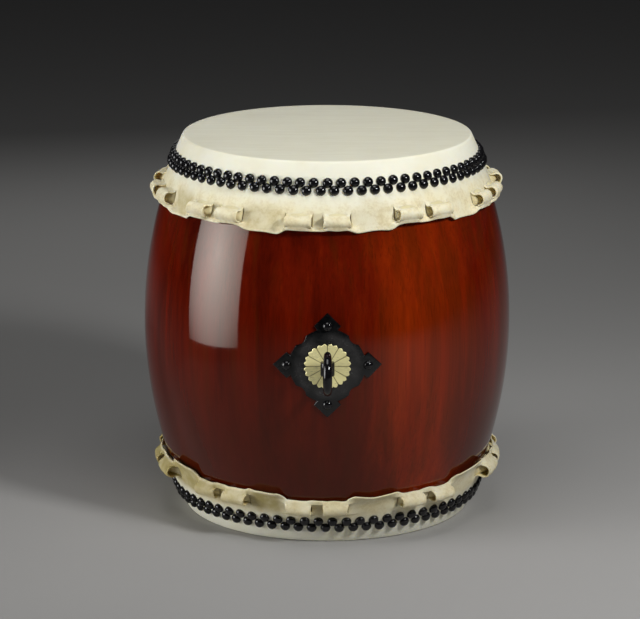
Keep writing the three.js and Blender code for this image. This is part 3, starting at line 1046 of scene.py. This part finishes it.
# Points drawn as across, depth and up are laid on the barrel's face
def layOnBarrel(points):
    across, depth, up = points[:, 0], points[:, 1], points[:, 2]
    height = up + middle
    radius = barrelRadius(height)
    slope = up / bulgeArc
    flat = np.sqrt(1 - slope ** 2)
    along = across / radius
    face = np.stack([across, -np.sqrt(radius ** 2 - across ** 2), height], axis=1)
    normal = np.stack([along * flat, -np.sqrt(1 - along ** 2) * flat, slope], axis=1)
    return face + normal * depth[:, None]


def layMesh(made):
    made.data.flip_normals()   # depth is drawn towards +Y and laid towards -Y, which turns the faces over
    return setPoints(made, layOnBarrel(getPoints(made)))


# Moves a front piece to its place: the rear one is turned half round
def toPlace(made, place):
    turn = -1 if place == "rear" else 1
    return setPoints(made, getPoints(made) * (turn, turn, 1))


def plateOutline(spec):
    reach, lobe, neck = spec["plateReach"], spec["lobeHalf"], (spec["neckHalf"], spec["neckReach"])
    spread = math.radians(spec["pointSpread"])
    angles = (math.pi / 4 + spread, math.pi / 4 - spread)
    points = [Vector((math.cos(a), math.sin(a))) * spec["pointRadius"] for a in angles]
    corners = [Vector(neck), *points, Vector(neck[::-1])]
    sink = spec["pointRadius"] * math.cos(spread) - spec["hollowRadius"]
    rises = (spec["shoulderRise"], -sink, spec["shoulderRise"])
    outline = []
    for quarter in range(4):
        turn = Matrix.Rotation(-quarter * math.pi / 2, 2)
        outline += [turn @ Vector((0, reach)), turn @ Vector((lobe, reach - lobe)), turn @ corners[0]]
        for start, end, rise in zip(corners, corners[1:], rises):
            half = (start + end) / 2
            crown = half * (1 + 2 * rise / half.length)
            for t in np.linspace(0, 1, spec["curveSteps"] + 1)[1:]:
                outline.append(turn @ (start * (1 - t) ** 2 + crown * 2 * t * (1 - t) + end * t * t))
        outline.append(turn @ Vector((reach - lobe, lobe)))
    return outline


# A flat plate with bevelled edges, cut into a grid so that it can follow the barrel
def makePlate(name, spec, finish):
    outline = plateOutline(spec)
    low, high, step = spec["plateBack"], spec["plateFace"], spec["gridStep"]
    build = bmesh.new()
    face = build.faces.new([build.verts.new((p.x, low, p.y)) for p in outline])
    bmesh.ops.recalc_face_normals(build, faces=[face])
    drawn = bmesh.ops.extrude_face_region(build, geom=[face])
    for part in drawn["geom"]:
        if isinstance(part, bmesh.types.BMVert):
            part.co.y = high
    build.normal_update()
    bmesh.ops.recalc_face_normals(build, faces=build.faces[:])
    rim = [e for e in build.edges if all(abs(v.co.y - high) < 1e-7 for v in e.verts)]
    bmesh.ops.bevel(build, geom=rim, offset=spec["edgeBevel"], offset_type="OFFSET", segments=3, profile=0.6,
                    affect="EDGES")
    bmesh.ops.triangulate(build, faces=[f for f in build.faces if len(f.verts) > 4])
    lines = int(spec["plateReach"] / step) + 1
    for axis in ((1, 0, 0), (0, 0, 1)):
        for i in range(-lines, lines + 1):
            spot = tuple(a * i * step for a in axis)
            geom = build.verts[:] + build.edges[:] + build.faces[:]
            bmesh.ops.bisect_plane(build, geom=geom, plane_co=spot, plane_no=axis, dist=1e-6)
    mesh = bpy.data.meshes.new(name)
    build.to_mesh(mesh)
    build.free()
    return layMesh(linkMesh(name, mesh, finish))


for place in ("front", "rear"):
    plate = toPlace(makePlate(place + "_plate_black", handle, satinBlack), place)
    sharpen(plate, handle["sharpFrom"])
    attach(plate, "drum")
    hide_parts(place + "_seat_plate")
print("seat plates made")


# Chrysanthemum washer: twelve petals, each with two round lobes and a groove to its neighbours
washer = {
    "radius": 0.0352,
    "cleft": 0.0036,
    "notch": 0.0026,
    "lobePower": 1.5,
    "inner": 0.0055,
    "low": 0.0036,
    "high": 0.0064,
    "dish": 0.0021,         # the middle lies lower than the tips
    "crown": 0.0003,
    "crownStart": 0.7,      # share of a petal's half width from which it falls to its edge
    "bevel": 0.0007,
    "bevelDrop": 0.8,
    "groove": 0.0002,
    "grooveTint": 0.75,
    "petals": 12,
    "rows": 9,
    "columns": 17,
    "sharpFrom": 35,
}


# One petal about the up direction, drawn flat with its depth outwards
def makePetal(name, spec):
    half = math.pi / spec["petals"]
    points, groove = [], []
    rows, columns = spec["rows"], spec["columns"]
    for i in range(rows):
        isRim = i == rows - 1
        for j in range(columns):
            across = 2 * j / (columns - 1) - 1
            sink = spec["cleft"] if abs(across) > 0.5 else spec["notch"]
            tip = spec["radius"] - sink * abs(2 * abs(across) - 1) ** spec["lobePower"]
            r = tip if isRim else spec["inner"] + (tip - spec["bevel"] - spec["inner"]) * i / (rows - 2)
            a = across * (half - spec["groove"] / r)
            edge = max(0.0, (abs(across) - spec["crownStart"]) / (1 - spec["crownStart"]))
            depth = spec["high"] - spec["dish"] * (1 - (r / spec["radius"]) ** 2)
            depth -= spec["crown"] * edge ** 2 + spec["bevel"] * spec["bevelDrop"] * isRim
            points.append((r * math.sin(a), depth, r * math.cos(a)))
            groove.append(spec["grooveTint"] * edge ** 6)
    groove += [1.0] * len(points)
    points += [(x, spec["low"], z) for x, y, z in points]
    made = newObject(name, points, slabFaces(rows, columns, corner=1), brass)
    setShare(made.data, "groove", groove)
    return made


def petalTree(finish):
    tree, board, given = newTree("petal_ring", {"Count": "Int", "Start": "Float"})
    angle = given.pick("Start") + board.node("GeometryNodeInputIndex") / given.pick("Count") * (2 * math.pi)
    points = board.node("GeometryNodePoints", {}, {"Count": given.pick("Count")})
    tilt = board.node("ShaderNodeCombineXYZ", {}, {1: angle})
    turn = board.node("FunctionNodeEulerToRotation", {}, {0: tilt})
    closeTree(board, points, given, turn, finish)
    return tree


petalNodes = petalTree(brass)
for place in ("front", "rear"):
    flower = makePetal(place + "_petals_brass", washer)
    repeat(flower, petalNodes, {"Count": washer["petals"], "Start": math.pi / washer["petals"]})
    sharpen(toPlace(layMesh(flower), place), washer["sharpFrom"])
    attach(flower, "drum")
    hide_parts(place + "_chrysanthemum_washer")
print("washers made")


# Nails: a domed head on the plate and a square shank in the wood
nail = {
    "count": 4,
    "reach": 0.0615,
    "seat": 0.0036,
    "profile": ((0.007, 0.0), (0.0071, 0.0009), (0.0065, 0.0026), (0.0053, 0.0041), (0.0034, 0.0051),
                (0.0016, 0.0055)),
    "crown": 0.0056,
    "sides": 20,
    "shankHalf": 0.0018,
    "shankLength": 0.024,
    "shankOverlap": 0.0005,
    "sharpFrom": 50,
}


def makeNail(name, spec):
    profile = [(r, z + spec["seat"]) for r, z in spec["profile"]]
    made = knob(name, profile, spec["crown"] + spec["seat"], spec["sides"], glossBlack)
    build = bmesh.new()
    build.from_mesh(made.data)
    wide, low, high = 2 * spec["shankHalf"], -spec["shankLength"], spec["seat"] + spec["shankOverlap"]
    shank = Matrix.Translation((0, 0, (low + high) / 2)) @ Matrix.Diagonal((wide, wide, high - low, 1))
    bmesh.ops.create_cube(build, size=1.0, matrix=shank)
    build.to_mesh(made.data)
    build.free()
    return setPoints(made, getPoints(made)[:, (0, 2, 1)] * (1, 1, -1))   # out of the plate is now the depth


def nailTree(finish):
    tree, board, given = newTree("nail_cross", {"Count": "Int", "Reach": "Float"})
    angle = board.node("GeometryNodeInputIndex") / given.pick("Count") * (2 * math.pi)
    spot = {0: angle.sine() * given.pick("Reach"), 2: angle.cosine() * given.pick("Reach")}
    spot = board.node("ShaderNodeCombineXYZ", {}, spot)
    points = board.node("GeometryNodePoints", {}, {"Count": given.pick("Count"), "Position": spot})
    closeTree(board, points, given, (0, 0, 0), finish)
    return tree


nailNodes = nailTree(glossBlack)
for place in ("front", "rear"):
    nails = makeNail(place + "_nails_domed", nail)
    repeat(nails, nailNodes, {"Count": nail["count"], "Reach": nail["reach"]})
    sharpen(toPlace(layMesh(nails), place), nail["sharpFrom"])
    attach(nails, "drum")
    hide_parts(*[f"{place}_nail_{spot}" for spot in ("upper", "lower", "left", "right")])
print("nails made")


# Ring: thin in the eye, thick in the hand
ring = {
    "radius": 0.028,
    "neck": 0.0045,
    "grip": 0.007,
    "hinge": 0.309773,
    "steps": 72,
    "sides": 22,
}


def makeRing(name, spec):
    steps, sides = spec["steps"], spec["sides"]
    centre = -spec["hinge"] - spec["radius"]
    points = []
    for a in turns(steps):
        bar = spec["neck"] + (spec["grip"] - spec["neck"]) * (1 - math.cos(a)) / 2
        for b in turns(sides):
            r = spec["radius"] + bar * math.cos(b)
            points.append((bar * math.sin(b), centre + r * math.cos(a), middle + r * math.sin(a)))
    faces = [(a, d, c, b) for a, b, c, d in rowFaces(steps, sides, True)]
    return newObject(name, points, faces, glossBlack)


for place in ("front", "rear"):
    hoop = toPlace(makeRing(place + "_ring_black", ring), place)
    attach(hoop, place + "_handle_ring")
    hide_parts(place + "_ring")
print("rings made")


# Eye pin: one strap, clenched inside the barrel, through the wall and round the ring
eyePin = {
    "eye": 0.00747,
    "thickness": 0.0034,
    "eyeHeight": 0.021,
    "legHeight": 0.012,
    "legSpread": 0.0023,
    "legShares": (0.5, 0.8, 0.9),
    "bore": 0.2602,
    "clench": 0.024,
    "clenchRise": 0.0012,
    "bend": 0.003,
    "bendSteps": 4,
    "rounding": 0.0011,
    "cornerSteps": 4,
    "arcSteps": 40,
    "growth": 0.3,           # share of the eye over which the strap grows to its height
    "sharpFrom": 50,
}


# Half of the strap's way, from the clenched tip to the eye's far side, with the strap's height
def strapWay(spec):
    across, bore, bend, tall = spec["legSpread"], spec["bore"], spec["bend"], spec["legHeight"]
    mean = spec["eye"] + spec["thickness"] / 2
    way = [((spec["clench"], -bore + spec["clenchRise"]), tall), ((across + bend, -bore), tall)]
    for i in range(1, spec["bendSteps"] + 1):
        a = math.pi / 2 * i / spec["bendSteps"]
        way.append(((across + bend * (1 - math.sin(a)), -bore - bend * (1 - math.cos(a))), tall))
    start = math.asin(across / mean)
    foot = -ring["hinge"] + mean * math.cos(start)
    for share in spec["legShares"]:
        way.append(((across, -bore - bend + (foot + bore + bend) * share), tall))
    for share in np.linspace(0, 1, spec["arcSteps"] + 1):
        a = start + (math.pi - start) * share
        grown = tall + (spec["eyeHeight"] - tall) * smoothStep(0, spec["growth"], share)
        way.append(((mean * math.sin(a), -ring["hinge"] + mean * math.cos(a)), grown))
    return way


def makeEyePin(name, spec):
    half = strapWay(spec)
    way = half + [((-x, y), tall) for (x, y), tall in reversed(half[:-1])]
    spots = np.array([p for p, tall in way])
    corner, steps = spec["rounding"], spec["cornerSteps"]
    points = []
    for i, (spot, tall) in enumerate(way):
        ahead = spots[min(i + 1, len(way) - 1)] - spots[max(i - 1, 0)]
        ahead = ahead / np.linalg.norm(ahead)
        side = np.array([ahead[1], -ahead[0]])
        for q, (sx, sz) in enumerate(((1, 1), (-1, 1), (-1, -1), (1, -1))):
            for k in range(steps):
                a = math.pi / 2 * (q + k / (steps - 1))
                off = sx * (spec["thickness"] / 2 - corner) + corner * math.cos(a)
                up = sz * (tall / 2 - corner) + corner * math.sin(a)
                points.append((*(np.array(spot) + side * off), middle + up))
    section = 4 * steps
    faces = rowFaces(len(way), section)
    faces.append(tuple(reversed(range(section))))
    faces.append(tuple(range((len(way) - 1) * section, len(way) * section)))
    made = newObject(name, points, faces, glossBlack)
    build = bmesh.new()
    build.from_mesh(made.data)
    bmesh.ops.recalc_face_normals(build, faces=build.faces[:])
    build.to_mesh(made.data)
    build.free()
    return made


for place in ("front", "rear"):
    strap = toPlace(makeEyePin(place + "_eye_strap", eyePin), place)
    sharpen(strap, eyePin["sharpFrom"])
    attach(strap, "drum")
    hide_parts(place + "_eye_pin")
print("eye pins made")


# Stage: a pale floor, a dim room and soft lamps
stage = {
    "floorRadius": 14.0,
    "floorSides": 96,
    "floorColours": (rgb(166, 165, 163), rgb(158, 157, 155)),
    "cloud": (plain, 3.0, 3.0),
    "roomColour": rgb(36, 36, 37),
    "roomLevel": 1.0,
}


def floorFinish(look):
    finish, board, shader = newFinish("pale_floor")
    cloud, = board.layers(look, "cloud")
    board.fill(shader, {
        "Base Color": board.blend(cloud * 0.2, *look["floorColours"]),
        "Roughness": 0.9,
        "Specular IOR Level": 0.1,
    })
    return finish


def makeFloor(spec):
    count, radius = spec["floorSides"], spec["floorRadius"]
    points = [(0, 0, 0)] + [(radius * math.cos(a), radius * math.sin(a), 0) for a in turns(count)]
    faces = [(0, i + 1, (i + 1) % count + 1) for i in range(count)]
    made = newObject("floor", points, faces, floorFinish(spec))


def makeRoom(spec):
    world = bpy.data.worlds.new("dim_room")
    world.use_nodes = True
    back = world.node_tree.nodes["Background"]
    back.inputs["Color"].default_value = spec["roomColour"]
    back.inputs["Strength"].default_value = spec["roomLevel"]
    scene.world = world


lamps = {
    "left_softbox": {
        "spot": (-1.203, -0.49, 0.5), "aim": (-0.234, -0.242, 0.38), "size": (0.847, 0.9), "watts": 2.3,
        "spread": 58},
    "right_key": {
        "spot": (1.26, -1.38, 1.57), "aim": (0, 0, 0.35), "size": (0.36, 0.36), "watts": 30.0, "spread": 180},
    "overhead": {
        "spot": (-0.1, -0.55, 2.1), "aim": (0, 0, 0.5), "size": (1.1, 0.9), "watts": 11.0, "spread": 180},
    "rear_fill": {
        "spot": (-0.5, 2.3, 1.5), "aim": (0, 0, 0.3), "size": (1.6, 1.2), "watts": 6.0, "spread": 180},
}


def makeLamps(lamps):
    for name, spec in lamps.items():
        data = bpy.data.lights.new(name, "AREA")
        data.shape = "RECTANGLE"
        data.size, data.size_y = spec["size"]
        data.energy = spec["watts"]
        data.spread = math.radians(spec["spread"])
        lamp = bpy.data.objects.new(name, data)
        scene.collection.objects.link(lamp)
        lamp.location = spec["spot"]
        toward = Vector(spec["aim"]) - Vector(spec["spot"])
        lamp.rotation_euler = toward.to_track_quat("-Z", "Y").to_euler()


camera = {
    "spot": (-0.01133, -4.836, 1.573),
    "tilt": 14.58,
    "lens": 174.8,
    "sensor": 36.0,
    "clipEnd": 100.0,
}


def makeCamera(spec):
    data = bpy.data.cameras.new("camera")
    data.lens = spec["lens"]
    data.sensor_width = spec["sensor"]
    data.clip_end = spec["clipEnd"]
    made = bpy.data.objects.new("camera", data)
    scene.collection.objects.link(made)
    made.location = spec["spot"]
    made.rotation_euler = (math.radians(90 - spec["tilt"]), 0, 0)
    scene.camera = made


makeFloor(stage)
makeRoom(stage)
makeLamps(lamps)
makeCamera(camera)
print("stage made")
